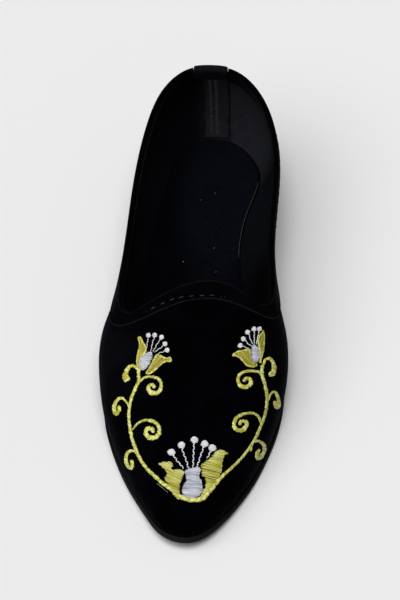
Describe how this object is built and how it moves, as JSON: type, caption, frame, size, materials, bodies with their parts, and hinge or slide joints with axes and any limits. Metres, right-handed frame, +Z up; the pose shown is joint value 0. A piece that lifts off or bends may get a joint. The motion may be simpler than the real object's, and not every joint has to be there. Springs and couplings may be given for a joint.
{
  "type": "ballet flat",
  "caption": "Slip-on flat shoe for the right foot, with a pointed toe, arched bound throat, heel pull tab, thin sole and low heel.",
  "frame": {"origin": "on the floor, under the middle of the shoe's bounding box", "axes": "-Y towards the toe and +Y towards the heel, +X towards the foot's inner (medial) side, +Z up; the forefoot and the heel stand on z = 0"},
  "size_m": [0.089, 0.2474, 0.0623],
  "materials": {
    "outsole": "matt dark grey rubber",
    "heel": "matt dark grey rubber",
    "insole": "blue-black brushed cloth",
    "upper": "black velvet with yellow and silver thread embroidery",
    "binding": "black velvet tape with one row of grey stitches",
    "heel_tab": "black woven tape",
    "heel_strip": "charcoal lining cloth with zigzag stitches"
  },
  "bodies": {
    "root": {"outsole": "outsole", "heel": "heel", "insole": "insole", "upper": "upper", "topline_binding": "binding", "heel_tab": "heel_tab", "heel_strip": "heel_strip"}
  },
  "joints": []
}
